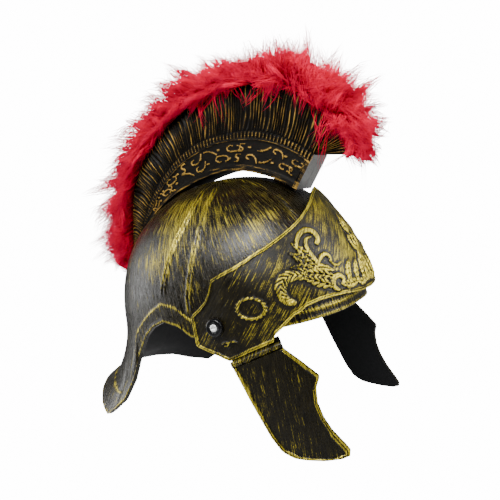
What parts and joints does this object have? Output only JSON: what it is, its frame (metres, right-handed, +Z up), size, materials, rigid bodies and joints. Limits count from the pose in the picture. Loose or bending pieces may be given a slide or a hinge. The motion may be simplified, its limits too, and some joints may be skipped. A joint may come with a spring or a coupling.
{
  "type": "roman legionary helmet",
  "caption": "Moulded costume helmet with a pivoting brow plate, hinged hanging cheek guards, a tall fluted crest and a red feather trim along its top.",
  "frame": {"origin": "inner apex of the skull bowl, where the helmet sits on a head", "axes": "+Z up as worn, -Y towards the face, -X towards the wearer's right side"},
  "size_m": [0.2112, 0.3157, 0.3474],
  "materials": {
    "antique_gold": "black moulded plastic brushed with antique gold, satin",
    "dark_gold": "black moulded plastic with gold rubbed on its raised lines",
    "black_plastic": "glossy black",
    "steel": "plain zinc-plated",
    "red_feather": "fluffy dyed feather"
  },
  "bodies": {
    "shell": {"dome": "antique_gold", "crest_right": "dark_gold", "crest_left": "dark_gold", "plume": "red_feather", "pivot_cap_right": "black_plastic", "pivot_cap_left": "black_plastic", "pivot_screw_right": "steel", "pivot_screw_left": "steel"},
    "brow": {"visor": "antique_gold", "hinge_pin_right": "steel", "hinge_pin_left": "steel"},
    "cheek_right": {"cheek_guard_right": "antique_gold"},
    "cheek_left": {"cheek_guard_left": "antique_gold"}
  },
  "joints": [
    {"name": "visor_pivot", "type": "hinge", "parent": "shell", "child": "brow", "pos_m": [0, -0.025, -0.117], "axis": [1, 0, 0], "range_deg": [0, 28]},
    {"name": "cheek_hinge_right", "type": "hinge", "parent": "brow", "child": "cheek_right", "pos_m": [-0.09559, -0.0532, -0.1431], "axis": [-0.267, 0.9311, -0.2487], "range_deg": [-15, 80]},
    {"name": "cheek_hinge_left", "type": "hinge", "parent": "brow", "child": "cheek_left", "pos_m": [0.09559, -0.0532, -0.1431], "axis": [-0.267, -0.9311, 0.2487], "range_deg": [-15, 80]}
  ]
}
